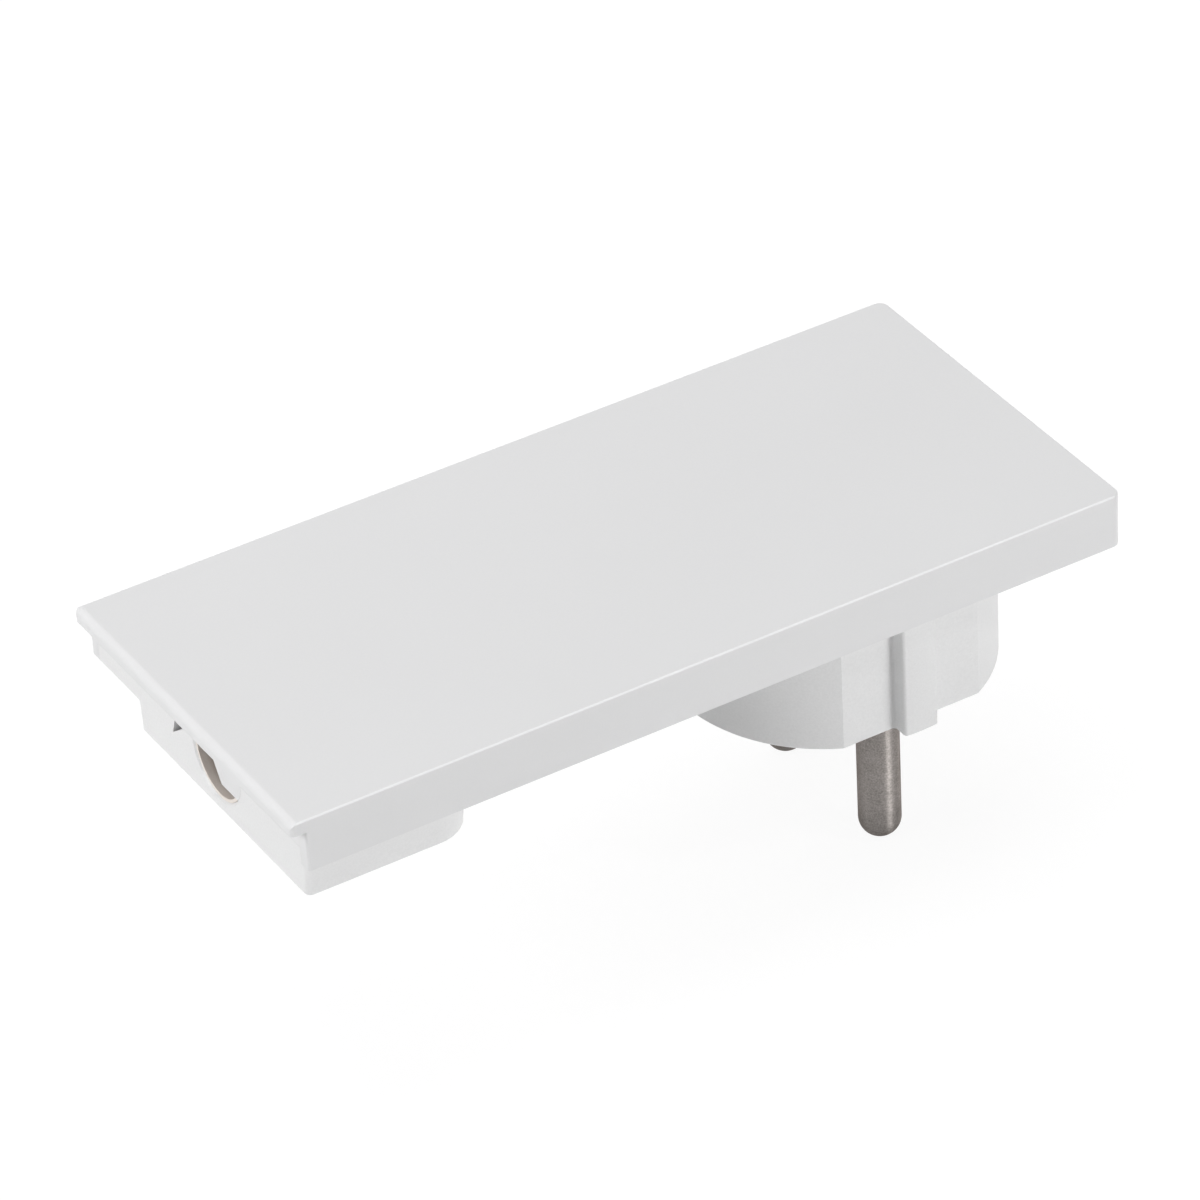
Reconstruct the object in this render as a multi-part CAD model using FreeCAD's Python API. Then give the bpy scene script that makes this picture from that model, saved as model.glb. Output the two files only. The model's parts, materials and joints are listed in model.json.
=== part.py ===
import FreeCAD, Part
import math
import os

# Flat low profile plug: a rewirable two-pole and earth mains plug under a long flat cover.
# Millimetres, +Z up. The origin is on the axis of the round plug body, in the plane where
# the flat housing meets the front of a socket. +X runs from the cable end to the plug end,
# -Y is the near long side, and the pins point down.

# Flat housing
plate_length = 101.25
plate_width = 46.0
plate_depth = 6.45
plug_end_margin = 4.38
lid_thickness = 1.55
skirt_thickness = 1.6
plug_corner_radius = 1.2
lip_corner_radius = 0.5
skirt_end_radius = 0.25
top_edge_radius = 0.2
lip_overhang = 1.6
lip_edge_radius = 0.9
end_wall_thickness = 1.6
seam_depth = 4.35
seam_gap = 0.02
shell_clearance = 0.02
lid_clearance = 0.1

# Base tray, with the snap beads that hold the cover and the ribs that guide the cores
floor_thickness = 1.3
rim_thickness = 1.2
bead_count = 3
bead_length = 6.0
bead_radius = 0.8
bead_height = 0.4
bead_clearance = 0.1
core_rib_count = 4
core_channel_width = 3.4
core_rib_thickness = 0.9
core_rib_height = 2.2
core_rib_margin = 1.5

# Cable block under the cable end
block_length = 20.6
block_width = 35.85
block_side_inset = 0.4
block_draft_angle = 5.0
block_corner_radius = 5.0
block_end_radius = 0.7
block_edge_chamfer = 0.15
block_wall = 1.6
block_floor = 1.2

# Cable inlet in the end wall
inlet_radius = 4.4
inlet_offset = 4.1
inlet_rise = 0.4
inlet_rim_chamfer = 0.3
liner_thickness = 0.35
liner_setback = 0.15
liner_clearance = 0.02
tongue_depth = 2.25
tongue_reach = 0.65
tongue_slant = 1.45
tongue_clearance = 0.03
pry_notch_offset = 7.1
pry_notch_width = 2.4
pry_notch_slant = 0.6
pry_notch_depth = 1.8

# Round plug body with two flats, each with a guide rib
plug_radius = 18.5
plug_depth = 17.95
plug_wall = 1.8
flat_depth = 2.15
guide_width = 4.3
guide_root_radius = 0.3
guide_edge_radius = 0.4
face_chamfer = 0.3
ledge_width = 1.0
ledge_height = 1.5
contact_slot_width = 4.6
contact_slot_cover = 0.5

# Contact carrier
carrier_clearance = 0.12
carrier_wall = 1.2
face_thickness = 3.0
partition_thickness = 1.2
pocket_clearance = 0.5
wire_window_width = 20.0

# Contact pins
pin_diameter = 4.8
pin_length = 19.0
pin_spacing = 19.0
pin_clearance = 0.05
shank_diameter = 5.2
collar_diameter = 6.4
collar_height = 1.5
rivet_diameter = 3.6
rivet_length = 2.4

# Pole terminals and their screws
terminal_length = 7.0
terminal_width = 6.0
terminal_height = 8.0
terminal_edge = 0.4
wire_bore_diameter = 3.2
wire_bore_drop = 3.2
pole_screw_diameter = 3.0
pole_screw_length = 4.2
pole_screw_lift = 1.2
pole_head_diameter = 5.2
pole_head_height = 1.8

# Earth bracket with its terminal, and the socket that takes an earth pin
strip_thickness = 0.8
strip_width = 4.2
strip_inset = 0.6
strip_clearance = 0.1
strip_bend_radius = 0.2
strip_end_gap = 0.15
web_drop = 4.0
earth_pin_distance = 10.0
earth_bore_diameter = 4.9
earth_mouth_diameter = 5.4
earth_mouth_depth = 0.8
earth_socket_wall = 0.55
earth_socket_top = 1.0
earth_slit_width = 0.8
earth_rivet_diameter = 2.4
earth_rivet_head_diameter = 4.0
earth_rivet_head_height = 0.6
earth_screw_distance = 6.0
earth_screw_diameter = 3.5
earth_screw_length = 6.0
earth_head_diameter = 6.0
earth_head_height = 2.0
earth_washer_side = 6.6
earth_washer_thickness = 0.8
earth_nut_side = 5.5
earth_nut_height = 2.4
square_corner_radius = 0.5

# Cable saddle and clamp
saddle_floor = 0.7
saddle_margin = 3.4
saddle_gap = 0.8
saddle_corner_radius = 0.6
grip_ridge_height = 0.45
grip_ridge_width = 1.0
grip_pitch = 2.6
clamp_length = 6.8
clamp_thickness = 1.8
clamp_corner_radius = 2.4
clamp_tooth_width = 1.4
clamp_tooth_depth = 1.4
clamp_tooth_tip_radius = 0.2
clamp_screw_side = 3.2
clamp_screw_diameter = 2.5
clamp_screw_length = 5.0
clamp_head_diameter = 4.6
clamp_head_height = 1.6
clamp_head_clearance = 0.3
clamp_post_diameter = 4.6
clamp_post_gap = 0.3
clamp_pilot_gap = 0.3

# Cover screws, driven from below through the cable block
cover_screw_diameter = 2.6
cover_screw_length = 5.6
cover_pilot_gap = 0.4
cover_head_diameter = 5.0
cover_head_height = 1.5
cover_head_recess = 1.9
cover_seat_thickness = 1.5
cover_tube_diameter = 7.2
cover_boss_diameter = 5.6

# Fits and drives that the screws share
hole_clearance = 0.15
thread_clearance = 0.03
drive_width = 0.8
drive_depth = 0.8
head_chamfer = 0.3
cut_margin = 1.0
shortest_edge = 1e-6

# Places that follow from the sizes
Vector = FreeCAD.Vector
half_width = plate_width / 2
plug_end_x = plug_radius + plug_end_margin
lip_end_x = plug_end_x - plate_length
end_wall_x = lip_end_x + lip_overhang
end_wall_inner_x = end_wall_x + end_wall_thickness
lid_underside_z = plate_depth - lid_thickness
seam_z = plate_depth - seam_depth
skirt_inner_x = plug_end_x - skirt_thickness
skirt_inner_y = half_width - skirt_thickness
rim_outer_x = skirt_inner_x - shell_clearance
rim_outer_y = skirt_inner_y - shell_clearance
rim_inner_x = rim_outer_x - rim_thickness
rim_inner_y = rim_outer_y - rim_thickness
rim_start_x = end_wall_inner_x + shell_clearance
rim_top_z = lid_underside_z - lid_clearance
bead_z = (floor_thickness + rim_top_z) / 2

inlet_y = -inlet_offset
inlet_z = seam_z + inlet_rise
liner_radius = inlet_radius + liner_thickness
liner_start_x = end_wall_x + liner_setback
trough_radius = liner_radius + liner_clearance
mouth_radius = trough_radius + inlet_rim_chamfer
saddle_bottom_z = inlet_z - inlet_radius - saddle_floor
block_bottom_z = saddle_bottom_z - block_floor
block_draft = -block_bottom_z * math.tan(math.radians(block_draft_angle))
block_inner_x = end_wall_x + block_length
block_near_y = block_side_inset - half_width
block_far_y = block_near_y + block_width
cavity_inner_x = block_inner_x - block_draft - block_wall
cavity_far_y = block_far_y - block_draft - block_wall
cavity_corner_radius = block_corner_radius - block_wall

flat_distance = plug_radius - flat_depth
ring_bore = plug_radius - plug_wall
ring_flat = flat_distance - plug_wall
face_z = -plug_depth
ledge_z = face_z + ledge_height
face_inner_z = face_z + face_thickness
carrier_radius = ring_bore - carrier_clearance
carrier_flat = ring_flat - carrier_clearance
chamber_radius = carrier_radius - carrier_wall
chamber_flat = carrier_flat - carrier_wall
wire_window_x = math.sqrt(chamber_radius ** 2 - (wire_window_width / 2) ** 2)
pin_y = pin_spacing / 2
pin_tip_z = face_z - pin_length
collar_top_z = face_inner_z + collar_height
terminal_top_z = collar_top_z + terminal_height
wire_bore_z = terminal_top_z - wire_bore_drop
partition_y = pin_y - terminal_width / 2 - pocket_clearance
bay_half_width = partition_y - partition_thickness

leg_outer_x = ring_bore - strip_inset
leg_inner_x = leg_outer_x - strip_thickness
leg_end_z = ledge_z + strip_end_gap
groove_x = leg_inner_x - strip_clearance
groove_half_width = strip_width / 2 + strip_clearance
bay_half_length = groove_x - carrier_wall
web_top_z = -web_drop
web_bottom_z = web_top_z - strip_thickness
contact_slot_z = web_top_z - contact_slot_cover
earth_socket_x = -earth_pin_distance
earth_socket_radius = earth_bore_diameter / 2 + earth_socket_wall
earth_shoulder_z = face_z + earth_mouth_depth

cover_screw_x = cavity_inner_x - cavity_corner_radius
cover_seat_z = block_bottom_z + cover_head_recess
cover_tube_top_z = cover_seat_z + cover_seat_thickness
clamp_underside_z = lid_underside_z - clamp_head_clearance - clamp_head_height - clamp_thickness
clamp_top_z = clamp_underside_z + clamp_thickness
clamp_post_top_z = clamp_underside_z - clamp_post_gap
clamp_screw_offset = inlet_radius + clamp_screw_side
saddle_half_width = clamp_screw_offset + saddle_margin
saddle_start_x = end_wall_inner_x + seam_gap
saddle_end_x = cover_screw_x - cover_tube_diameter / 2 - saddle_gap
clamp_x = (saddle_start_x + saddle_end_x) / 2

pole_places = {"line": -pin_y, "neutral": pin_y}
clamp_screw_places = {"near": inlet_y - clamp_screw_offset, "far": inlet_y + clamp_screw_offset}
cover_screw_places = {
    "near": cavity_corner_radius - rim_inner_y,
    "far": cavity_far_y - cavity_corner_radius,
}


def plan(z):
    """Map (x, y) to points at one height."""
    return lambda u, v: Vector(u, v, z)


def cross_section(x):
    """Map (y, z) to points in a plane square to the long axis."""
    return lambda u, v: Vector(x, u, v)


def long_section(y):
    """Map (x, z) to points in a plane along the plug."""
    return lambda u, v: Vector(u, y, v)


def rounded_outline(corners, place):
    """Make a closed wire through (u, v, radius) corners, each turned by an arc of its radius."""
    turns = []
    for index, (u, v, radius) in enumerate(corners):
        corner = Vector(u, v, 0)
        before = corners[index - 1]
        after = corners[(index + 1) % len(corners)]
        back = (Vector(before[0], before[1], 0) - corner).normalize()
        ahead = (Vector(after[0], after[1], 0) - corner).normalize()
        half_angle = back.getAngle(ahead) / 2
        tangent = radius / math.tan(half_angle)
        bulge = radius / math.sin(half_angle) - radius
        middle = corner + (back + ahead).normalize() * bulge
        turns.append((corner + back * tangent, middle, corner + ahead * tangent))
    edges = []
    for index, (first, middle, last) in enumerate(turns):
        following = turns[(index + 1) % len(turns)][0]
        if first.distanceToPoint(last) > shortest_edge:
            edges.append(Part.Arc(*[place(point.x, point.y) for point in (first, middle, last)]).toShape())
        if last.distanceToPoint(following) > shortest_edge:
            edges.append(Part.makeLine(place(last.x, last.y), place(following.x, following.y)))
    return Part.Wire(edges)


def rectangle(u0, u1, v0, v1, radius=0.0):
    """List the corners of a rectangle with one corner radius."""
    return [(u0, v0, radius), (u1, v0, radius), (u1, v1, radius), (u0, v1, radius)]


def prism(outline, travel):
    """Sweep a closed outline along a straight vector."""
    return Part.Face(outline).extrude(travel)


def slab(corners, z0, z1):
    """Raise a plan outline from one height to another."""
    return prism(rounded_outline(corners, plan(z0)), Vector(0, 0, z1 - z0))


def box(x0, x1, y0, y1, z0, z1):
    """Make a box from its limits."""
    return Part.makeBox(x1 - x0, y1 - y0, z1 - z0, Vector(x0, y0, z0))


def rod(x, y, diameter, z0, z1):
    """Make an upright cylinder."""
    return Part.makeCylinder(diameter / 2, z1 - z0, Vector(x, y, z0))


def bar(x0, x1, y, z, radius):
    """Make a cylinder along X."""
    return Part.makeCylinder(radius, x1 - x0, Vector(x0, y, z), Vector(1, 0, 0))


def flatted_disc(radius, flat, z0, z1):
    """Make a disc on the plug axis with flats at plus and minus flat in Y."""
    return rod(0, 0, 2 * radius, z0, z1).common(box(-radius, radius, -flat, flat, z0, z1))


def turned(profile, x, y):
    """Turn a (radius, height, rounding) profile about an upright axis at x, y."""
    body = Part.Face(rounded_outline(profile, long_section(0))).revolve(Vector(), Vector(0, 0, 1), 360)
    body.translate(Vector(x, y, 0))
    return body


def turned_along_x(profile, y, z):
    """Turn an (x, radius, rounding) profile about an axis along X at y, z."""
    body = Part.Face(rounded_outline(profile, long_section(0))).revolve(Vector(), Vector(1, 0, 0), 360)
    body.translate(Vector(0, y, z))
    return body


def edges_at_height(shape, z):
    """Pick the edges that lie flat at one height."""
    return [edge for edge in shape.Edges
            if abs(edge.BoundBox.ZMin - z) < shortest_edge and abs(edge.BoundBox.ZMax - z) < shortest_edge]


def upright_edges(shape, x, y0, y1):
    """Pick the upright edges at plus or minus x whose distance from the long axis is between y0 and y1."""
    picked = []
    for edge in shape.Edges:
        limits = edge.BoundBox
        upright = limits.XLength < shortest_edge and limits.YLength < shortest_edge
        if upright and abs(abs(limits.XMin) - x) < shortest_edge and y0 < abs(limits.YMin) < y1:
            picked.append(edge)
    return picked


def screw(x, y, seat_z, upward, head_diameter, head_height, diameter, length, crossed):
    """Make a screw whose head seats at seat_z and whose shank points up or down from there."""
    way = 1 if upward else -1
    head_z = seat_z - way * head_height
    end_z = seat_z + way * length
    profile = [
        (0, head_z, 0),
        (head_diameter / 2 - head_chamfer, head_z, 0),
        (head_diameter / 2, head_z + way * head_chamfer, 0),
        (head_diameter / 2, seat_z, 0),
        (diameter / 2, seat_z, 0),
        (diameter / 2, end_z, 0),
        (0, end_z, 0),
    ]
    body = turned(profile, x, y)
    slot_limits = sorted([head_z - way * cut_margin, head_z + way * drive_depth])
    slot_half = drive_width / 2
    reach = head_diameter / 4 if crossed else head_diameter
    body = body.cut(box(x - slot_half, x + slot_half, y - reach, y + reach, *slot_limits))
    if crossed:
        body = body.cut(box(x - reach, x + reach, y - slot_half, y + slot_half, *slot_limits))
    return body


def snap_beads(clearance):
    """Make the half-round beads along both rims, or with a clearance the grooves that take them."""
    radius = bead_radius + clearance
    half_length = bead_length / 2 + clearance
    axis_y = rim_outer_y + bead_height - bead_radius
    pitch = (rim_outer_x - rim_start_x) / bead_count
    beads = []
    for index in range(bead_count):
        middle = rim_start_x + (index + 0.5) * pitch
        for side in (-1, 1):
            beads.append(bar(middle - half_length, middle + half_length, side * axis_y, bead_z, radius))
    return beads


def lip_rounding():
    """Make the waste that rounds the upper edge of the finger lip."""
    corner = box(lip_end_x - cut_margin, lip_end_x + lip_edge_radius, -plate_width, plate_width,
                 plate_depth - lip_edge_radius, plate_depth + cut_margin)
    axis_start = Vector(lip_end_x + lip_edge_radius, -plate_width, plate_depth - lip_edge_radius)
    roller = Part.makeCylinder(lip_edge_radius, 2 * plate_width, axis_start, Vector(0, 1, 0))
    return corner.cut(roller)


def inlet_tongue():
    """Make the tongue that closes the near part of the inlet: its front fills the mouth before the liner."""
    front_end_x = liner_start_x - tongue_clearance
    front_radius = mouth_radius - tongue_clearance
    throat_radius = inlet_radius - tongue_clearance
    profile = [
        (end_wall_x, 0, 0),
        (end_wall_x, front_radius, 0),
        (front_end_x, front_radius - (front_end_x - end_wall_x), 0),
        (front_end_x, throat_radius, 0),
        (end_wall_inner_x, throat_radius, 0),
        (end_wall_inner_x, 0, 0),
    ]
    throat = turned_along_x(profile, inlet_y, inlet_z)
    left_y = inlet_y - 2 * inlet_radius
    tip_z = seam_z - tongue_depth
    corners = [
        (left_y, lid_underside_z, 0),
        (inlet_y + tongue_reach, lid_underside_z, 0),
        (inlet_y + tongue_reach, seam_z, 0),
        (inlet_y + tongue_reach - tongue_slant, tip_z, 0),
        (left_y, tip_z, 0),
    ]
    window = prism(rounded_outline(corners, cross_section(end_wall_x)), Vector(end_wall_thickness, 0, 0))
    return throat.common(window)


def skirt_end_edges(cover):
    """Pick the upright outer edges where the two long skirts end at the cable end."""
    picked = []
    for edge in cover.Edges:
        limits = edge.BoundBox
        at_end = abs(limits.XMin - end_wall_x) < shortest_edge and limits.XLength < shortest_edge
        outside = limits.YLength < shortest_edge and abs(abs(limits.YMin) - half_width) < shortest_edge
        if at_end and outside:
            picked.append(edge)
    return picked


def top_cover():
    """Flat lid with a finger lip, three skirts, the upper end wall, the tongue and two screw bosses."""
    corners = [
        (lip_end_x, -half_width, lip_corner_radius),
        (plug_end_x, -half_width, plug_corner_radius),
        (plug_end_x, half_width, plug_corner_radius),
        (lip_end_x, half_width, lip_corner_radius),
    ]
    cover = slab(corners, 0, plate_depth)
    cover = cover.makeFillet(top_edge_radius, edges_at_height(cover, plate_depth))
    cover = cover.cut(lip_rounding())
    waste = [
        box(lip_end_x - cut_margin, end_wall_x, -plate_width, plate_width, -cut_margin, lid_underside_z),
        box(end_wall_inner_x, skirt_inner_x, -skirt_inner_y, skirt_inner_y, -cut_margin, lid_underside_z),
        box(lip_end_x, end_wall_inner_x, -skirt_inner_y, skirt_inner_y, -cut_margin, seam_z),
    ]
    cover = cover.cut(waste + snap_beads(bead_clearance))
    cover = cover.makeFillet(skirt_end_radius, skirt_end_edges(cover))
    bosses = []
    pilots = []
    pilot_diameter = cover_screw_diameter + 2 * thread_clearance
    pilot_top_z = cover_seat_z + cover_screw_length + cover_pilot_gap
    for y in cover_screw_places.values():
        bosses.append(rod(cover_screw_x, y, cover_boss_diameter, cover_tube_top_z, lid_underside_z))
        pilots.append(rod(cover_screw_x, y, pilot_diameter, cover_tube_top_z - cut_margin, pilot_top_z))
    return cover.fuse(bosses + [inlet_tongue()]).removeSplitter().cut(pilots)


def block_outline(z, end_inset, side_inset):
    """Outline of the cable block at one height, drawn in from the end wall and from the drafted sides."""
    radius = block_corner_radius - side_inset
    corners = [
        (end_wall_x + end_inset, block_near_y + side_inset, block_end_radius),
        (block_inner_x - side_inset, block_near_y + side_inset, radius),
        (block_inner_x - side_inset, block_far_y - side_inset, radius),
        (end_wall_x + end_inset, block_far_y - side_inset, block_end_radius),
    ]
    return rounded_outline(corners, plan(z))


def cable_block():
    """Drafted block below the tray, with a chamfered bottom edge and a top edge clear of the skirts."""
    chamfer_z = block_bottom_z + block_edge_chamfer
    outlines = [
        block_outline(block_bottom_z, block_edge_chamfer, block_draft + block_edge_chamfer),
        block_outline(chamfer_z, 0, block_draft * chamfer_z / block_bottom_z),
        block_outline(0, 0, 0),
    ]
    block = Part.makeLoft(outlines, True, True)
    for side in (-1, 1):
        near, far = sorted([side * rim_outer_y, side * plate_width])
        block = block.cut(box(lip_end_x, block_inner_x + cut_margin, near, far, -seam_gap, cut_margin))
    return block


def plug_ring():
    """Round plug body before it is bored: a disc with two flats, each with a guide rib."""
    body = flatted_disc(plug_radius, flat_distance, face_z, 0)
    half_guide = guide_width / 2
    rib = box(-half_guide, half_guide, -plug_radius, plug_radius, face_z, 0)
    body = body.fuse(rib.common(rod(0, 0, 2 * plug_radius, face_z, 0))).removeSplitter()
    roots = upright_edges(body, half_guide, flat_distance - shortest_edge, flat_distance + shortest_edge)
    body = body.makeFillet(guide_root_radius, roots)
    crests = upright_edges(body, half_guide, flat_distance + guide_root_radius, plug_radius)
    body = body.makeFillet(guide_edge_radius, crests)
    return body.makeChamfer(face_chamfer, edges_at_height(body, face_z))


def tray():
    """Flat tray inside the skirts: floor, rims on three sides and the lower end wall."""
    tray_body = box(end_wall_x, rim_outer_x, -rim_outer_y, rim_outer_y, 0, rim_top_z)
    inside = box(end_wall_inner_x, rim_inner_x, -rim_inner_y, rim_inner_y, floor_thickness, plate_depth)
    above_seam = box(lip_end_x, rim_start_x, -plate_width, plate_width, seam_z - seam_gap, plate_depth)
    return tray_body.cut([inside, above_seam])


def core_ribs():
    """Ribs on the floor that keep the three cores of the cable apart."""
    start_x = block_inner_x + core_rib_margin
    end_x = -ring_bore - core_rib_margin
    pitch = core_channel_width + core_rib_thickness
    ribs = []
    for index in range(core_rib_count):
        y = (index - (core_rib_count - 1) / 2) * pitch
        ribs.append(box(start_x, end_x, y - core_rib_thickness / 2, y + core_rib_thickness / 2,
                        0, floor_thickness + core_rib_height))
    return ribs


def inlet_trough():
    """Make the waste of the round inlet, with a lead-in at its outer rim."""
    front_x = end_wall_x - cut_margin
    back_x = end_wall_inner_x + cut_margin
    profile = [
        (front_x, 0, 0),
        (front_x, mouth_radius, 0),
        (end_wall_x, mouth_radius, 0),
        (end_wall_x + inlet_rim_chamfer, trough_radius, 0),
        (back_x, trough_radius, 0),
        (back_x, 0, 0),
    ]
    return turned_along_x(profile, inlet_y, inlet_z)


def pry_notch():
    """Make the waste of the three-cornered notch below the seam, where a blade lifts the cover."""
    start_y = inlet_y + pry_notch_offset
    corners = [
        (start_y, seam_z, 0),
        (start_y + pry_notch_width - pry_notch_slant, seam_z, 0),
        (start_y + pry_notch_width, seam_z - pry_notch_depth, 0),
    ]
    return prism(rounded_outline(corners, cross_section(end_wall_x)), Vector(end_wall_thickness, 0, 0))


def block_cavity():
    """Make the waste that hollows the cable block from above."""
    corners = [
        (end_wall_inner_x, -rim_inner_y, 0),
        (cavity_inner_x, -rim_inner_y, cavity_corner_radius),
        (cavity_inner_x, cavity_far_y, cavity_corner_radius),
        (end_wall_inner_x, cavity_far_y, 0),
    ]
    return slab(corners, saddle_bottom_z, plate_depth)


def ring_bores():
    """Make the wastes that open the plug body: its bore, the ledge opening and two contact slots."""
    ledge_bore = ring_bore - ledge_width
    ledge_flat = ring_flat - ledge_width
    wastes = [
        flatted_disc(ring_bore, ring_flat, ledge_z, plate_depth),
        flatted_disc(ledge_bore, ledge_flat, face_z - cut_margin, ledge_z + cut_margin),
    ]
    half_slot = contact_slot_width / 2
    for side in (-1, 1):
        x0, x1 = sorted([side * (ledge_bore - cut_margin), side * (plug_radius + cut_margin)])
        wastes.append(box(x0, x1, -half_slot, half_slot, face_z - cut_margin, contact_slot_z))
    return wastes


def base_housing():
    """Lower shell in one moulding: tray, cable block and round plug body."""
    base = tray().fuse([cable_block(), plug_ring()] + core_ribs() + snap_beads(0)).removeSplitter()
    base = base.cut([block_cavity(), inlet_trough(), pry_notch()] + ring_bores())
    posts = []
    holes = []
    pilot_diameter = clamp_screw_diameter + 2 * thread_clearance
    pilot_end_z = clamp_top_z - clamp_screw_length - clamp_pilot_gap
    for y in clamp_screw_places.values():
        posts.append(rod(clamp_x, y, clamp_post_diameter, block_bottom_z + block_floor / 2, clamp_post_top_z))
        holes.append(rod(clamp_x, y, pilot_diameter, pilot_end_z, plate_depth))
    recess_diameter = cover_head_diameter + 2 * hole_clearance
    through_diameter = cover_screw_diameter + 2 * hole_clearance
    for y in cover_screw_places.values():
        posts.append(rod(cover_screw_x, y, cover_tube_diameter, block_bottom_z + block_floor / 2,
                         cover_tube_top_z))
        holes.append(rod(cover_screw_x, y, recess_diameter, block_bottom_z - cut_margin, cover_seat_z))
        holes.append(rod(cover_screw_x, y, through_diameter, cover_seat_z, plate_depth))
    return base.fuse(posts).removeSplitter().cut(holes)


def contact_carrier():
    """Insulating cup inside the plug body: its floor is the plug face, its bays hold the contacts."""
    nose = flatted_disc(carrier_radius - ledge_width, carrier_flat - ledge_width, face_z, ledge_z)
    carrier = nose.fuse(flatted_disc(carrier_radius, carrier_flat, ledge_z, rim_top_z)).removeSplitter()
    chamber = flatted_disc(chamber_radius, chamber_flat, face_inner_z, plate_depth)
    wastes = [
        chamber.common(box(-plug_radius, plug_radius, partition_y, plug_radius, face_z, plate_depth)),
        chamber.common(box(-plug_radius, plug_radius, -plug_radius, -partition_y, face_z, plate_depth)),
        box(-bay_half_length, bay_half_length, -bay_half_width, bay_half_width, face_inner_z, plate_depth),
        box(-plug_radius, -wire_window_x, -wire_window_width / 2, wire_window_width / 2,
            floor_thickness, plate_depth),
    ]
    for side in (-1, 1):
        x0, x1 = sorted([side * groove_x, side * plug_radius])
        wastes.append(box(x0, x1, -groove_half_width, groove_half_width, ledge_z, plate_depth))
    notch_bottom_z = web_bottom_z - strip_clearance
    wastes.append(box(-plug_radius, plug_radius, -groove_half_width, groove_half_width,
                      notch_bottom_z, plate_depth))
    for y in pole_places.values():
        wastes.append(rod(0, y, shank_diameter + 2 * pin_clearance, face_z - cut_margin, plate_depth))
        half_length = terminal_length / 2 + pocket_clearance
        half_breadth = terminal_width / 2 + pocket_clearance
        wastes.append(box(-half_length, half_length, y - half_breadth, y + half_breadth,
                          face_inner_z, plate_depth))
    socket_hole = 2 * (earth_socket_radius + pin_clearance)
    wastes.append(rod(earth_socket_x, 0, earth_mouth_diameter, face_z - cut_margin, plate_depth))
    wastes.append(rod(earth_socket_x, 0, socket_hole, earth_shoulder_z, plate_depth))
    half_washer = earth_washer_side / 2 + pocket_clearance
    wastes.append(box(earth_screw_distance - half_washer, earth_screw_distance + half_washer,
                      -half_washer, half_washer, face_inner_z, plate_depth))
    return carrier.cut(wastes)


def contact_pin(y):
    """Turned contact pin with a round tip, a seated shank, a collar and a rivet end for its terminal."""
    profile = [
        (0, pin_tip_z, 0),
        (pin_diameter / 2, pin_tip_z, pin_diameter / 2),
        (pin_diameter / 2, face_z, 0),
        (shank_diameter / 2, face_z, 0),
        (shank_diameter / 2, face_inner_z, 0),
        (collar_diameter / 2, face_inner_z, 0),
        (collar_diameter / 2, collar_top_z, 0),
        (rivet_diameter / 2, collar_top_z, 0),
        (rivet_diameter / 2, collar_top_z + rivet_length, 0),
        (0, collar_top_z + rivet_length, 0),
    ]
    return turned(profile, 0, y)


def pole_terminal(y):
    """Pillar terminal on a pin's collar, bored across for the core and from above for its screw."""
    half_length = terminal_length / 2
    half_breadth = terminal_width / 2
    outline = rectangle(-half_length, half_length, y - half_breadth, y + half_breadth, terminal_edge)
    block = slab(outline, collar_top_z, terminal_top_z)
    rivet_hole = rivet_diameter + 2 * thread_clearance
    screw_hole = pole_screw_diameter + 2 * thread_clearance
    return block.cut([
        rod(0, y, rivet_hole, collar_top_z - cut_margin, collar_top_z + rivet_length + pin_clearance),
        bar(-terminal_length, terminal_length, y, wire_bore_z, wire_bore_diameter / 2),
        rod(0, y, screw_hole, wire_bore_z, terminal_top_z + cut_margin),
    ])


def pole_screw(y):
    """Slotted screw that presses the core in its terminal."""
    return screw(0, y, terminal_top_z + pole_screw_lift, False, pole_head_diameter, pole_head_height,
                 pole_screw_diameter, pole_screw_length, False)


def earth_bracket():
    """Folded earth strip: a web across the carrier and two legs that face the contact slots."""
    outer_bend = strip_bend_radius + strip_thickness
    below_z = leg_end_z - cut_margin
    outside = [
        (-leg_outer_x, leg_end_z, 0),
        (leg_outer_x, leg_end_z, 0),
        (leg_outer_x, web_top_z, outer_bend),
        (-leg_outer_x, web_top_z, outer_bend),
    ]
    inside = [
        (-leg_inner_x, below_z, 0),
        (leg_inner_x, below_z, 0),
        (leg_inner_x, web_bottom_z, strip_bend_radius),
        (-leg_inner_x, web_bottom_z, strip_bend_radius),
    ]
    breadth = Vector(0, strip_width, 0)
    start = long_section(-strip_width / 2)
    strip = prism(rounded_outline(outside, start), breadth)
    strip = strip.cut(prism(rounded_outline(inside, start), breadth))
    rivet_hole = earth_rivet_diameter + 2 * thread_clearance
    screw_hole = earth_screw_diameter + 2 * hole_clearance
    below_web = web_bottom_z - cut_margin
    above_web = web_top_z + cut_margin
    return strip.cut([
        rod(earth_socket_x, 0, rivet_hole, below_web, above_web),
        rod(earth_screw_distance, 0, screw_hole, below_web, above_web),
    ])


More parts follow.
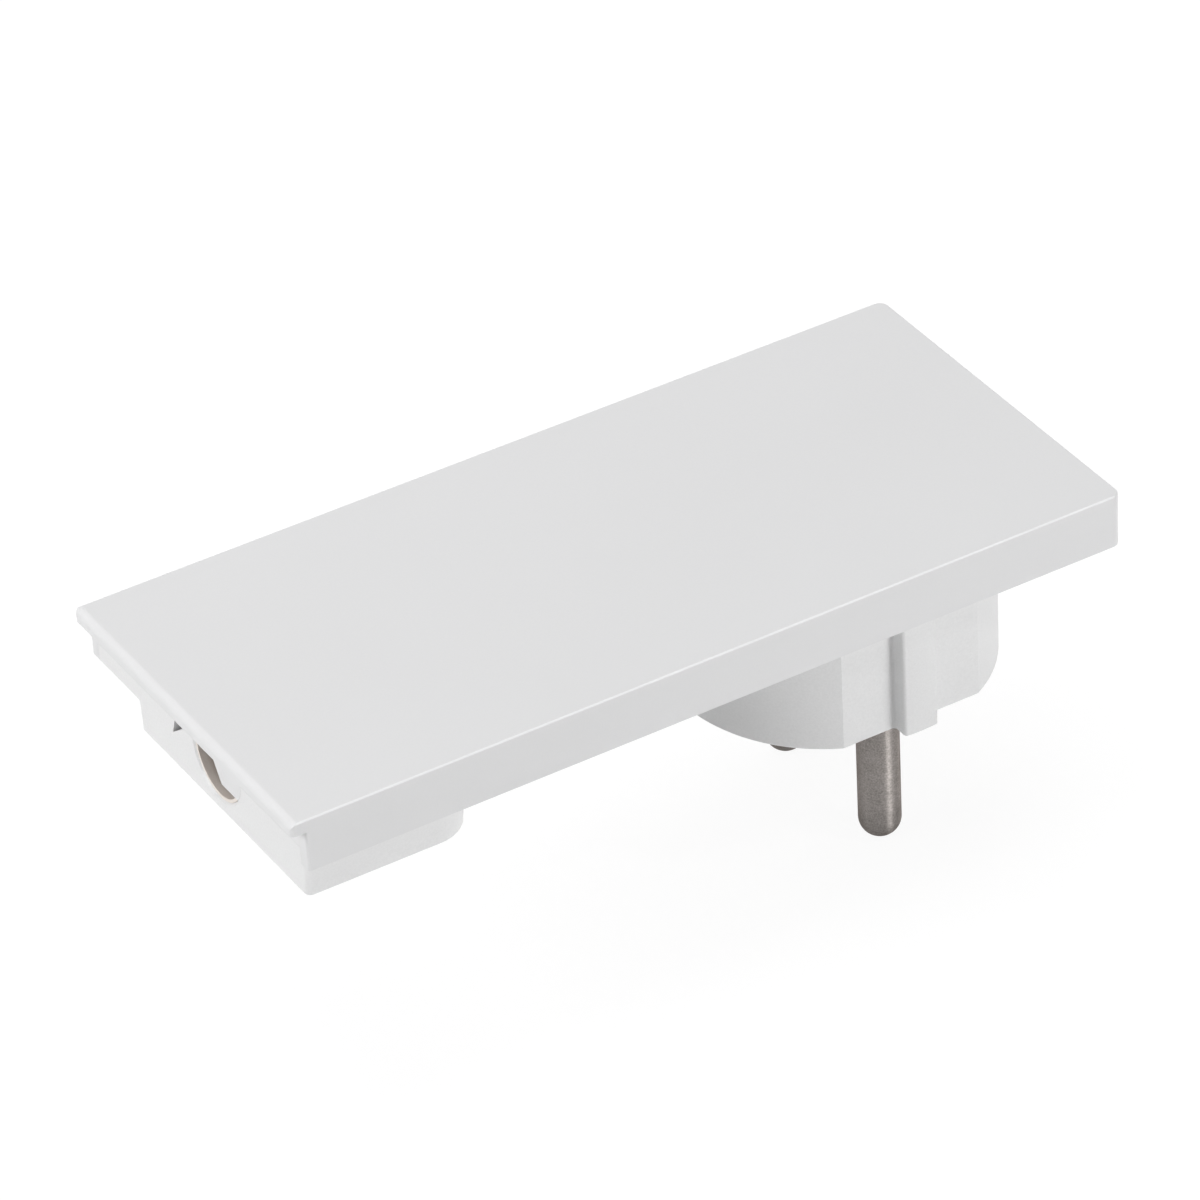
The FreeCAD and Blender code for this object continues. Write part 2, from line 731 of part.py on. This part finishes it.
def earth_socket():
    """Slit sleeve riveted under the earth strip, for the earth pin that some sockets have."""
    bore = earth_bore_diameter / 2
    roof_z = web_bottom_z - earth_socket_top
    head_z = web_top_z + earth_rivet_head_height
    profile = [
        (bore, earth_shoulder_z, 0),
        (earth_socket_radius, earth_shoulder_z, 0),
        (earth_socket_radius, web_bottom_z, 0),
        (earth_rivet_diameter / 2, web_bottom_z, 0),
        (earth_rivet_diameter / 2, web_top_z, 0),
        (earth_rivet_head_diameter / 2, web_top_z, 0),
        (earth_rivet_head_diameter / 2, head_z - head_chamfer, 0),
        (earth_rivet_head_diameter / 2 - head_chamfer, head_z, 0),
        (0, head_z, 0),
        (0, roof_z, 0),
        (bore, roof_z, 0),
    ]
    half_slit = earth_slit_width / 2
    slit = box(earth_socket_x, earth_socket_x + 2 * earth_socket_radius, -half_slit, half_slit,
               earth_shoulder_z - cut_margin, roof_z)
    return turned(profile, earth_socket_x, 0).cut(slit)


def square_plate(side, bore_diameter, z0, z1):
    """Square washer or nut on the axis of the earth screw."""
    half_side = side / 2
    outline = rectangle(earth_screw_distance - half_side, earth_screw_distance + half_side,
                        -half_side, half_side, square_corner_radius)
    bore = rod(earth_screw_distance, 0, bore_diameter, z0 - cut_margin, z1 + cut_margin)
    return slab(outline, z0, z1).cut(bore)


def earth_washer():
    """Square washer that holds the earth core on the strip."""
    return square_plate(earth_washer_side, earth_screw_diameter + 2 * hole_clearance,
                        web_top_z, web_top_z + earth_washer_thickness)


def earth_nut():
    """Square nut under the earth strip."""
    return square_plate(earth_nut_side, earth_screw_diameter + 2 * thread_clearance,
                        web_bottom_z - earth_nut_height, web_bottom_z)


def earth_screw():
    """Slotted screw of the earth terminal."""
    return screw(earth_screw_distance, 0, web_top_z + earth_washer_thickness, False, earth_head_diameter,
                 earth_head_height, earth_screw_diameter, earth_screw_length, False)


def cable_saddle():
    """Lower half of the cable grip: a half-round trough whose liner nose shows in the inlet, with ridges."""
    outline = rectangle(saddle_start_x, saddle_end_x, inlet_y - saddle_half_width,
                        inlet_y + saddle_half_width, saddle_corner_radius)
    blank = slab(outline, saddle_bottom_z, clamp_underside_z)
    nose = bar(liner_start_x, saddle_start_x, inlet_y, inlet_z, liner_radius)
    nose = nose.common(box(liner_start_x, saddle_start_x, inlet_y - liner_radius, inlet_y + liner_radius,
                           saddle_bottom_z, seam_z - seam_gap))
    wastes = [bar(liner_start_x - cut_margin, saddle_end_x + cut_margin, inlet_y, inlet_z, inlet_radius)]
    for y in clamp_screw_places.values():
        wastes.append(rod(clamp_x, y, clamp_post_diameter + 2 * hole_clearance,
                          saddle_bottom_z - cut_margin, clamp_underside_z + cut_margin))
    ridges = []
    for step in (-1, 0, 1):
        start = clamp_x + step * grip_pitch - grip_ridge_width / 2
        end = start + grip_ridge_width
        ring = bar(start, end, inlet_y, inlet_z, inlet_radius + saddle_floor / 2)
        ring = ring.cut(bar(start, end, inlet_y, inlet_z, inlet_radius - grip_ridge_height))
        ridges.append(ring.common(blank))
    return blank.fuse(nose).cut(wastes).fuse(ridges).removeSplitter()


def cable_clamp():
    """Upper half of the cable grip: a bar with two blunt teeth over the trough."""
    half_length = clamp_length / 2
    outline = rectangle(clamp_x - half_length, clamp_x + half_length, inlet_y - saddle_half_width,
                        inlet_y + saddle_half_width, clamp_corner_radius)
    clamp = slab(outline, clamp_underside_z, clamp_top_z)
    tip_z = clamp_underside_z - clamp_tooth_depth
    tooth_half = math.sqrt(inlet_radius ** 2 - (inlet_z - tip_z) ** 2) - pocket_clearance
    teeth = []
    for step in (-0.5, 0.5):
        middle = clamp_x + step * grip_pitch
        half_tooth = clamp_tooth_width / 2
        corners = [
            (middle - half_tooth, clamp_top_z, 0),
            (middle + half_tooth, clamp_top_z, 0),
            (middle, tip_z, clamp_tooth_tip_radius),
        ]
        start = long_section(inlet_y - tooth_half)
        teeth.append(prism(rounded_outline(corners, start), Vector(0, 2 * tooth_half, 0)))
    holes = []
    for y in clamp_screw_places.values():
        holes.append(rod(clamp_x, y, clamp_screw_diameter + 2 * hole_clearance, block_bottom_z, plate_depth))
    return clamp.fuse(teeth).removeSplitter().cut(holes)


def clamp_screw(y):
    """Cross-recess screw that pulls the clamp onto the saddle."""
    return screw(clamp_x, y, clamp_top_z, False, clamp_head_diameter, clamp_head_height,
                 clamp_screw_diameter, clamp_screw_length, True)


def cover_screw(y):
    """Cross-recess screw that holds the cover to the base from below."""
    return screw(cover_screw_x, y, cover_seat_z, True, cover_head_diameter, cover_head_height,
                 cover_screw_diameter, cover_screw_length, True)


def all_pieces():
    """Every piece of the plug under the name of its file."""
    pieces = {
        "top_cover": top_cover(),
        "base_housing": base_housing(),
        "contact_carrier": contact_carrier(),
        "earth_bracket": earth_bracket(),
        "earth_socket": earth_socket(),
        "earth_washer": earth_washer(),
        "earth_nut": earth_nut(),
        "earth_screw": earth_screw(),
        "cable_saddle": cable_saddle(),
        "cable_clamp": cable_clamp(),
    }
    for pole, y in pole_places.items():
        pieces[pole + "_pin"] = contact_pin(y)
        pieces[pole + "_terminal"] = pole_terminal(y)
        pieces[pole + "_terminal_screw"] = pole_screw(y)
    for side, y in clamp_screw_places.items():
        pieces[side + "_clamp_screw"] = clamp_screw(y)
    for side, y in cover_screw_places.items():
        pieces[side + "_cover_screw"] = cover_screw(y)
    return pieces


os.makedirs("parts", exist_ok=True)
for name, shape in all_pieces().items():
    shape.exportStep("parts/" + name + ".step")
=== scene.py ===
import json
import math

import bpy
import numpy as np
from mathutils import Matrix, Vector


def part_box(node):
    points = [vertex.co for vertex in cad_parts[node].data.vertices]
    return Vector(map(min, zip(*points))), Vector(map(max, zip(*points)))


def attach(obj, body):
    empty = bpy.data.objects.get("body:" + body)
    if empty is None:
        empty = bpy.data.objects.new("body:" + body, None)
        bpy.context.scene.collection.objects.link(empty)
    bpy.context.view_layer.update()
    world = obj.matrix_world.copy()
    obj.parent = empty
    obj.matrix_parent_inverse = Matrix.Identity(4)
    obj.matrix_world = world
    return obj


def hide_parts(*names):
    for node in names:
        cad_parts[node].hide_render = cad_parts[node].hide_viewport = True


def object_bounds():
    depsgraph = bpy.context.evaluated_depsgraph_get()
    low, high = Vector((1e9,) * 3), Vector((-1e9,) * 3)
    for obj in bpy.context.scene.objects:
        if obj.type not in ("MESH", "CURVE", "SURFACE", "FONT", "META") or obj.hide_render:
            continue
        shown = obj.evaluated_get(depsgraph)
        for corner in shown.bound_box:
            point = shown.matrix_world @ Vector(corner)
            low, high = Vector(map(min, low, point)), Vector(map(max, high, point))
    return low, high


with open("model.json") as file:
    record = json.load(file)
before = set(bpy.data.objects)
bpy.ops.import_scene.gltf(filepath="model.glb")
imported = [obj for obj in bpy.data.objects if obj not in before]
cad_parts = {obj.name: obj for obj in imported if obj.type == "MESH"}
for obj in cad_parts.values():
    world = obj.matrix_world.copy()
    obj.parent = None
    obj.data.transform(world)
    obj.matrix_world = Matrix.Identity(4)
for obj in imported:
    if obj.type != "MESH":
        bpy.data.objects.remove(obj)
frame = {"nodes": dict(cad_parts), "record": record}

# Flat low profile plug: its finishes, screws, floor, light and camera.
# Metres, in the frame of the model: +X from the cable end to the plug end, pins along -Z.

cad_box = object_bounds()
floor_height = cad_box[0][2]

# Camera, as turned and placed when the picture was taken
camera_azimuth = math.radians(-29.785)
camera_elevation = math.radians(35.367)
camera_roll = math.radians(-3.147)
camera_target = Vector((-0.02649, 0.0030, -0.00223))
camera_distance = 0.7575
camera_lens = 213.94
camera_near = 0.01
sensor_width = 36.0

# Light
world_strength = 0.12
floor_size = 6.0
floor_colour = 0.81
floor_glow = 1.085
floor_glow_share = 0.85

# Noise: its lowest and highest common value
noise_low = 0.3
noise_high = 0.7

# Plastic: cells per metre, shares and gloss
drift_scale = 28
speck_scale = 4000
speck_share = 0.35
gloss_scale = 75
plastic_smooth = 0.31
plastic_rough = 0.38
plastic_ior = 1.48
grain_strength = 0.6

# Painted highlight on the cover's top edges, and painted shade inside the inlet
edge_radius = 0.0002
edge_fade = 0.7
edge_highlight_tint = (1.13, 1.13, 1.13)
painted_shade_start = 0.0006
painted_shade_end = 0.0016
painted_shade_tint = (0.50, 0.42, 0.38)

# Metal: cells per metre, shares, and the height of its marks
cloud_scale = 420
plating_scale = 5000
plating_share = 0.75
worked_share = 0.7
plating_strength = 0.5
plating_depth = 0.000014
line_strength = 0.25
line_depth = 0.000010
quarter_turn = 0.25
# Painted shade towards the pin tips
tip_painted_shade_tint = (0.6, 0.6, 0.6)

# Screws
drive_width = 0.0008
drive_depth = 0.0008
drive_slope = 0.00006
crown_fall = 0.0003
crown_rings = 30
screw_sides = 96
thread_steps = 10
thread_depth_share = 0.25
ridge_gain = 1.7
ridge_cut = 0.3
runout_turns = 1.5
point_taper = 0.15
sharp_angle = 38


class Finish:
    """A material with one Principled shader whose textures read Object coordinates in metres."""

    def __init__(self, name, metallic=0.0):
        self.material = bpy.data.materials.new(name)
        self.material.use_nodes = True
        self.tree = self.material.node_tree
        self.shader = self.tree.nodes["Principled BSDF"]
        self.shader.inputs["Metallic"].default_value = metallic
        self.place = self.tree.nodes.new("ShaderNodeTexCoord").outputs["Object"]

    def stretched(self, scale):
        """Object coordinates multiplied by a factor along each axis."""
        mapping = self.tree.nodes.new("ShaderNodeMapping")
        mapping.inputs["Scale"].default_value = scale
        self.tree.links.new(self.place, mapping.inputs["Vector"])
        return mapping.outputs["Vector"]

    def noise(self, scale, detail=2.0, roughness=0.5, place=None):
        """Noise with a number of cells per metre, from 0 to 1."""
        texture = self.tree.nodes.new("ShaderNodeTexNoise")
        texture.inputs["Scale"].default_value = scale
        texture.inputs["Detail"].default_value = detail
        texture.inputs["Roughness"].default_value = roughness
        self.tree.links.new(place or self.place, texture.inputs["Vector"])
        return texture.outputs["Fac"]

    def spread(self, value, low, high):
        """Stretch the common values of a noise to a range of numbers."""
        mapped = self.tree.nodes.new("ShaderNodeMapRange")
        mapped.inputs["From Min"].default_value = noise_low
        mapped.inputs["From Max"].default_value = noise_high
        mapped.inputs["To Min"].default_value = low
        mapped.inputs["To Max"].default_value = high
        self.tree.links.new(value, mapped.inputs["Value"])
        return mapped.outputs["Result"]

    def tint(self, value, dark, pale):
        """Colour that runs from dark to pale as a noise rises."""
        ramp = self.tree.nodes.new("ShaderNodeValToRGB")
        for stop, position, colour in zip(ramp.color_ramp.elements, (noise_low, noise_high), (dark, pale)):
            stop.position = position
            stop.color = (*colour, 1)
        self.tree.links.new(value, ramp.inputs["Fac"])
        return ramp.outputs["Color"]

    def mixed(self, first, second, share):
        """Blend two colours by a fixed share of the second."""
        mix = self.tree.nodes.new("ShaderNodeMix")
        mix.data_type = "RGBA"
        mix.inputs["Factor"].default_value = share
        self.tree.links.new(first, mix.inputs["A"])
        self.tree.links.new(second, mix.inputs["B"])
        return mix.outputs["Result"]

    def apart(self):
        """The three Object coordinates, one by one."""
        split = self.tree.nodes.new("ShaderNodeSeparateXYZ")
        self.tree.links.new(self.place, split.inputs["Vector"])
        return split

    def number(self, operation, *values):
        """Result of a sum on sockets and plain numbers."""
        node = self.tree.nodes.new("ShaderNodeMath")
        node.operation = operation
        for socket, value in zip(node.inputs, values):
            if isinstance(value, bpy.types.NodeSocket):
                self.tree.links.new(value, socket)
            else:
                socket.default_value = value
        return node.outputs["Value"]

    def ramp(self, value, start, end):
        """Rise from 0 at a start to 1 at an end, and stay level outside."""
        mapped = self.tree.nodes.new("ShaderNodeMapRange")
        mapped.inputs["From Min"].default_value = start
        mapped.inputs["From Max"].default_value = end
        self.tree.links.new(value, mapped.inputs["Value"])
        return mapped.outputs["Result"]

    def multiply(self, share, tint):
        """Multiply the base colour by a tint where the share is 1, and leave it where it is 0."""
        mix = self.tree.nodes.new("ShaderNodeMix")
        mix.data_type = "RGBA"
        mix.blend_type = "MULTIPLY"
        mix.inputs["B"].default_value = (*tint, 1)
        self.tree.links.new(share, mix.inputs["Factor"])
        self.tree.links.new(self.shader.inputs["Base Color"].links[0].from_socket, mix.inputs["A"])
        self.set("Base Color", mix.outputs["Result"])

    def set(self, socket, value):
        """Give a shader socket a number, or a texture."""
        if isinstance(value, bpy.types.NodeSocket):
            self.tree.links.new(value, self.shader.inputs[socket])
        else:
            self.shader.inputs[socket].default_value = value

    def relief(self, *layers):
        """Stack bumps of (height, strength, depth in metres), the last one on top."""
        normal = None
        for height, strength, depth in layers:
            bump = self.tree.nodes.new("ShaderNodeBump")
            bump.inputs["Strength"].default_value = strength
            bump.inputs["Distance"].default_value = depth
            self.tree.links.new(height, bump.inputs["Height"])
            if normal:
                self.tree.links.new(normal, bump.inputs["Normal"])
            normal = bump.outputs["Normal"]
        self.tree.links.new(normal, self.shader.inputs["Normal"])


def moulded_plastic(name, dark, pale, grain_scale, grain_depth, speck):
    """Moulded plastic: a fine spark-eroded grain, slow drifts of colour and gloss, and faint specks."""
    finish = Finish(name)
    drift = finish.noise(drift_scale, detail=3)
    specks = finish.noise(speck_scale, detail=2)
    gloss = finish.noise(gloss_scale, detail=4)
    grain = finish.noise(grain_scale, detail=2, roughness=0.6)
    shade = [(1 - speck) * value for value in dark]
    light = [(1 + speck) * value for value in pale]
    body = finish.tint(drift, dark, pale)
    finish.set("Base Color", finish.mixed(body, finish.tint(specks, shade, light), speck_share))
    finish.set("Roughness", finish.spread(gloss, plastic_smooth, plastic_rough))
    finish.set("IOR", plastic_ior)
    finish.relief((grain, grain_strength, grain_depth))
    return finish


def plated_metal(name, dark, pale, smooth, rough, along, across, brushed):
    """Metal with fine tool lines round one axis, cloudy plating and a slight grain."""
    finish = Finish(name, metallic=1.0)
    lines = finish.noise(1, detail=3, roughness=0.6, place=finish.stretched((across, across, along)))
    clouds = finish.noise(cloud_scale, detail=4, roughness=0.6)
    grain = finish.noise(plating_scale, detail=2, roughness=0.7)
    worked = finish.mixed(finish.tint(lines, dark, pale), finish.tint(grain, dark, pale), plating_share)
    finish.set("Base Color", finish.mixed(finish.tint(clouds, dark, pale), worked, worked_share))
    finish.set("Roughness", finish.spread(clouds, smooth, rough))
    finish.set("Anisotropic", brushed)
    finish.set("Anisotropic Rotation", quarter_turn)
    finish.set("Specular Tint", (*pale, 1))
    finish.relief((lines, line_strength, line_depth), (grain, plating_strength, plating_depth))
    return finish


def tinted_along(finish, axis, start, end, tint):
    """Multiply the base colour by a tint that fades in along an axis, from a start to an end."""
    finish.multiply(finish.ramp(finish.apart().outputs[axis], start, end), tint)


def painted_edge_highlight(finish, low, high):
    """Painted highlight: multiply the base colour by a paler tint on the rounded top edges of a box.

    The distance to the nearest side wall plus the distance to the top is below the edges' radius
    only on them.
    """
    place = finish.apart()
    beside = None
    for axis, index in (("X", 0), ("Y", 1)):
        middle = (low[index] + high[index]) / 2
        from_middle = finish.number("ABSOLUTE", finish.number("SUBTRACT", place.outputs[axis], middle))
        gap = finish.number("SUBTRACT", high[index] - middle, from_middle)
        beside = finish.number("MINIMUM", beside, gap) if beside else gap
    under = finish.number("SUBTRACT", high[2], place.outputs["Z"])
    edge = finish.ramp(finish.number("ADD", beside, under), edge_radius, edge_fade * edge_radius)
    finish.multiply(edge, edge_highlight_tint)


# Base housing
white_plastic = moulded_plastic(
    "white_plastic", dark=(0.789, 0.789, 0.791), pale=(0.805, 0.805, 0.806),
    grain_scale=3200, grain_depth=0.000030, speck=0.06)

# Top cover, smoother and a little greyer than the base
cover_white = moulded_plastic(
    "cover_white", dark=(0.742, 0.742, 0.747), pale=(0.756, 0.756, 0.761),
    grain_scale=5200, grain_depth=0.000007, speck=0.01)
# Painted highlight: a paler band along the cover's rounded top edges
painted_edge_highlight(cover_white, *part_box("top_cover"))

# Contact carrier
carrier_plastic = moulded_plastic(
    "carrier_plastic", dark=(0.690, 0.690, 0.690), pale=(0.715, 0.715, 0.712),
    grain_scale=3200, grain_depth=0.000030, speck=0.06)

# Cable saddle and clamp, with painted shade that darkens them behind the mouth of the inlet
beige_plastic = moulded_plastic(
    "beige_plastic", dark=(0.77, 0.70, 0.64), pale=(0.83, 0.76, 0.70),
    grain_scale=5200, grain_depth=0.000010, speck=0.03)
mouth_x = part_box("cable_saddle")[0][0]
# Painted shade: the beige darkens inward from the inlet's mouth
tinted_along(beige_plastic, "X", mouth_x + painted_shade_start, mouth_x + painted_shade_end, painted_shade_tint)

# Pins and earth contacts, with turning marks; painted shade darkens the pins towards their tips, over one
# pin's width
nickel = plated_metal(
    "nickel", dark=(0.150, 0.138, 0.128), pale=(0.415, 0.384, 0.366),
    smooth=0.40, rough=0.50, along=6500, across=900, brushed=0.85)
pin_low, pin_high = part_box("line_pin")
# Painted shade: darker towards the pin tips
tinted_along(nickel, "Z", pin_low[2] + pin_high[0] - pin_low[0], pin_low[2], tip_painted_shade_tint)

# Terminals
brass = plated_metal(
    "brass", dark=(0.58, 0.40, 0.15), pale=(0.72, 0.53, 0.23),
    smooth=0.30, rough=0.42, along=3000, across=3000, brushed=0.2)

# Screws, washer and nut
zinc_steel = plated_metal(
    "zinc_steel", dark=(0.50, 0.51, 0.53), pale=(0.64, 0.65, 0.67),
    smooth=0.30, rough=0.40, along=2600, across=2600, brushed=0.2)

slot_finishes = {
    "white_plastic": white_plastic,
    "carrier_plastic": carrier_plastic,
    "beige_plastic": beige_plastic,
    "nickel": nickel,
    "brass": brass,
    "zinc_steel": zinc_steel,
}
for part in frame["record"]["subparts"]:
    finish = cover_white if part["node"] == "top_cover" else slot_finishes[part["material_slot"]]
    mesh = frame["nodes"][part["node"]].data
    mesh.materials.clear()
    mesh.materials.append(finish.material)


def ring_mesh(name, radius, height, turn):
    """Closed skin over rings of points, with the first and last ring drawn in to a point on the axis."""
    rings, sides = radius.shape
    points = np.stack([radius * np.cos(turn), radius * np.sin(turn), height], axis=-1).reshape(-1, 3)
    ends = np.array([(0, 0, height[0].mean()), (0, 0, height[-1].mean())])
    index = np.arange(rings * sides).reshape(rings, sides)
    ahead = np.roll(index, -1, axis=1)
    walls = np.stack([index[:-1], index[1:], ahead[1:], ahead[:-1]], axis=-1).reshape(-1, 4)
    top = np.column_stack([np.full(sides, rings * sides), index[0], ahead[0]])
    tip = np.column_stack([index[-1], np.full(sides, rings * sides + 1), ahead[-1]])
    faces = walls.tolist() + top.tolist() + tip.tolist()
    mesh = bpy.data.meshes.new(name)
    mesh.from_pydata(np.concatenate([points, ends]).tolist(), [], faces)
    return mesh


def smooth_step(value, low, high):
    """Rise from 0 at low to 1 at high with level ends: 3 t squared minus 2 t cubed."""
    share = np.clip((value - low) / (high - low), 0, 1)
    return share * share * (3 - 2 * share)


def drive_recess(x, y, reach, crossed):
    """Share of the drive's depth, from the distance past its walls: 1 in the slot or cross, 0 outside."""
    half = drive_width / 2
    along_y = np.maximum(np.abs(x) - half, np.abs(y) - reach)
    along_x = np.maximum(np.abs(y) - half, np.abs(x) - reach)
    outside = np.minimum(along_x, along_y) if crossed else along_y
    return 1 - smooth_step(outside, -drive_slope, drive_slope)


def threaded_screw(node, head_height, shank_diameter, pitch, crossed, head_down):
    """Domed screw in place of a plain one: rings over the crown with its drive, the rim and the thread.

    The crown falls by the fourth power of the radius. The thread's radius is its root plus a ridge that
    follows the height less a pitch for each turn. The ridge is clipped to a flat crest, and fades in under
    the head and out at the tip.
    """
    low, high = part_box(node)
    middle = [(low[axis] + high[axis]) / 2 for axis in range(3)]
    head_radius = (high[0] - low[0]) / 2
    length = high[2] - low[2] - head_height
    turn = np.linspace(0, 2 * np.pi, screw_sides, endpoint=False)[None, :]

    crown_radius = (head_radius * np.linspace(0, 1, crown_rings + 1)[1:])[:, None] * np.ones_like(turn)
    reach = head_radius / 2 if crossed else 2 * head_radius
    recess = drive_recess(crown_radius * np.cos(turn), crown_radius * np.sin(turn), reach, crossed)
    crown = head_height - crown_fall * (crown_radius / head_radius) ** 4 - drive_depth * recess

    rim_radius = np.array([head_radius, shank_diameter / 2])[:, None] * np.ones_like(turn)
    rim = np.zeros_like(rim_radius)

    steps = int(round(length / pitch * thread_steps))
    below = -length * np.linspace(0, 1, steps + 1)[1:, None] * np.ones_like(turn)
    phase = np.mod(below / pitch - turn / (2 * np.pi), 1)
    ridge = np.clip(ridge_gain * (1 - np.abs(2 * phase - 1)) - ridge_cut, 0, 1)
    runout = length - runout_turns * pitch
    fade = smooth_step(-below, 0, pitch) * (1 - smooth_step(-below, runout, length))
    depth = thread_depth_share * pitch
    shank = shank_diameter / 2 - depth + depth * ridge * fade
    shank = shank - point_taper * shank_diameter * smooth_step(-below, length - pitch, length)

    radius = np.concatenate([crown_radius, rim_radius, shank])
    height = np.concatenate([crown, rim, below])
    mesh = ring_mesh(node + "_turned", radius, height, turn)
    seat = low[2] + head_height if head_down else high[2] - head_height
    mesh.transform(Matrix.Translation((middle[0], middle[1], seat)) @
                   (Matrix.Rotation(math.pi, 4, "X") if head_down else Matrix.Identity(4)))
    mesh.polygons.foreach_set("use_smooth", np.ones(len(mesh.polygons), dtype=bool))
    mesh.set_sharp_from_angle(angle=math.radians(sharp_angle))
    mesh.materials.append(zinc_steel.material)
    piece = bpy.data.objects.new(node + "_turned", mesh)
    bpy.context.scene.collection.objects.link(piece)
    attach(piece, "root")
    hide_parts(node)


for side in ("near", "far"):
    threaded_screw(side + "_cover_screw", head_height=0.0015, shank_diameter=0.0026, pitch=0.0009,
                   crossed=True, head_down=True)
    threaded_screw(side + "_clamp_screw", head_height=0.0016, shank_diameter=0.0025, pitch=0.0009,
                   crossed=True, head_down=False)
for pole in ("line", "neutral"):
    threaded_screw(pole + "_terminal_screw", head_height=0.0018, shank_diameter=0.0030, pitch=0.0005,
                   crossed=False, head_down=False)
threaded_screw("earth_screw", head_height=0.0020, shank_diameter=0.0035, pitch=0.0006,
               crossed=False, head_down=False)


def shown_directly(tree):
    """One where a camera, mirrored or refracted ray looks at the surface, and zero for soft light."""
    path = tree.nodes.new("ShaderNodeLightPath")
    total = path.outputs["Is Camera Ray"]
    for ray in ("Is Glossy Ray", "Is Transmission Ray"):
        either = tree.nodes.new("ShaderNodeMath")
        either.operation = "MAXIMUM"
        tree.links.new(total, either.inputs[0])
        tree.links.new(path.outputs[ray], either.inputs[1])
        total = either.outputs["Value"]
    return total


def studio_world():
    """Even white surround: it lights at a plain level, and is pure white where it is seen."""
    world = bpy.data.worlds.new("studio")
    bpy.context.scene.world = world
    world.use_nodes = True
    tree = world.node_tree
    light = tree.nodes["Background"]
    light.inputs["Color"].default_value = (1, 1, 1, 1)
    light.inputs["Strength"].default_value = world_strength
    seen = tree.nodes.new("ShaderNodeBackground")
    seen.inputs["Color"].default_value = (1, 1, 1, 1)
    seen.inputs["Strength"].default_value = 1.0
    mix = tree.nodes.new("ShaderNodeMixShader")
    tree.links.new(shown_directly(tree), mix.inputs["Fac"])
    tree.links.new(light.outputs["Background"], mix.inputs[1])
    tree.links.new(seen.outputs["Background"], mix.inputs[2])
    tree.links.new(mix.outputs["Shader"], tree.nodes["World Output"].inputs["Surface"])


def studio_floor():
    """White table under the pin tips: matt, with a soft glow in view that leaves the shadow on it."""
    half = floor_size / 2
    mesh = bpy.data.meshes.new("floor")
    corners = np.array([(-half, -half), (half, -half), (half, half), (-half, half)])
    heights = np.full(len(corners), floor_height)
    mesh.from_pydata(np.column_stack([corners, heights]).tolist(), [], [(0, 1, 2, 3)])
    floor = bpy.data.objects.new("floor", mesh)
    bpy.context.scene.collection.objects.link(floor)
    material = bpy.data.materials.new("white_table")
    material.use_nodes = True
    tree = material.node_tree
    tree.nodes.remove(tree.nodes["Principled BSDF"])
    matt = tree.nodes.new("ShaderNodeBsdfDiffuse")
    matt.inputs["Color"].default_value = (floor_colour, floor_colour, floor_colour, 1)
    glow = tree.nodes.new("ShaderNodeEmission")
    glow.inputs["Strength"].default_value = floor_glow
    share = tree.nodes.new("ShaderNodeMath")
    share.operation = "MULTIPLY"
    share.inputs[1].default_value = floor_glow_share
    tree.links.new(shown_directly(tree), share.inputs[0])
    mix = tree.nodes.new("ShaderNodeMixShader")
    tree.links.new(share.outputs["Value"], mix.inputs["Fac"])
    tree.links.new(matt.outputs["BSDF"], mix.inputs[1])
    tree.links.new(glow.outputs["Emission"], mix.inputs[2])
    tree.links.new(mix.outputs["Shader"], tree.nodes["Material Output"].inputs["Surface"])
    mesh.materials.append(material)


def softbox(name, place, width, height, power):
    """Soft area lamp that faces the middle of the plug."""
    lamp = bpy.data.lights.new(name, "AREA")
    lamp.shape = "RECTANGLE"
    lamp.size = width
    lamp.size_y = height
    lamp.energy = power
    box = bpy.data.objects.new(name, lamp)
    bpy.context.scene.collection.objects.link(box)
    box.location = place
    box.rotation_euler = (camera_target - Vector(place)).to_track_quat("-Z", "Y").to_euler()
    box.visible_camera = False
    return box


def reflector(name, place, width, height, power):
    """Card beside the plug that shows only as a shine."""
    softbox(name, place, width, height, power).visible_diffuse = False


def picture_camera():
    """Camera that looks at the target from its azimuth and elevation, turned by a small roll."""
    back = Vector((
        math.sin(camera_azimuth) * math.cos(camera_elevation),
        -math.cos(camera_azimuth) * math.cos(camera_elevation),
        math.sin(camera_elevation),
    ))
    level = Vector((math.cos(camera_azimuth), math.sin(camera_azimuth), 0))
    upright = back.cross(level)
    right = math.cos(camera_roll) * level + math.sin(camera_roll) * upright
    up = math.cos(camera_roll) * upright - math.sin(camera_roll) * level
    lens = bpy.data.cameras.new("camera")
    lens.lens = camera_lens
    lens.sensor_width = sensor_width
    lens.clip_start = camera_near
    camera = bpy.data.objects.new("camera", lens)
    bpy.context.scene.collection.objects.link(camera)
    place = Matrix.Translation(camera_target + back * camera_distance)
    camera.matrix_world = place @ Matrix((right, up, back)).transposed().to_4x4()
    bpy.context.scene.camera = camera


studio_world()
studio_floor()
softbox("overhead_softbox", place=(0.0, 0.25, 1.3), width=1.1, height=1.1, power=10.95)
softbox("left_softbox", place=(-1.1, 0.10, 0.62), width=0.7, height=0.7, power=8.8)
softbox("edge_softbox", place=(0.53, -0.75, 0.92), width=0.14, height=0.14, power=1.5)
# The low lamps stay under the plane of the top, which would mirror them in views from the side
softbox("front_softbox", place=(0.15, -0.54, -0.015), width=0.16, height=0.04, power=1.05)
softbox("streak_softbox", place=(0.275, -0.495, -0.02), width=0.04, height=0.04, power=0.155)
softbox("back_softbox", place=(0.0, 0.61, -0.015), width=0.20, height=0.04, power=0.9)
reflector("pin_reflector", place=(0.60, -0.06, -0.015), width=0.25, height=0.04, power=0.5)
picture_camera()
bpy.context.scene.view_settings.view_transform = "Standard"
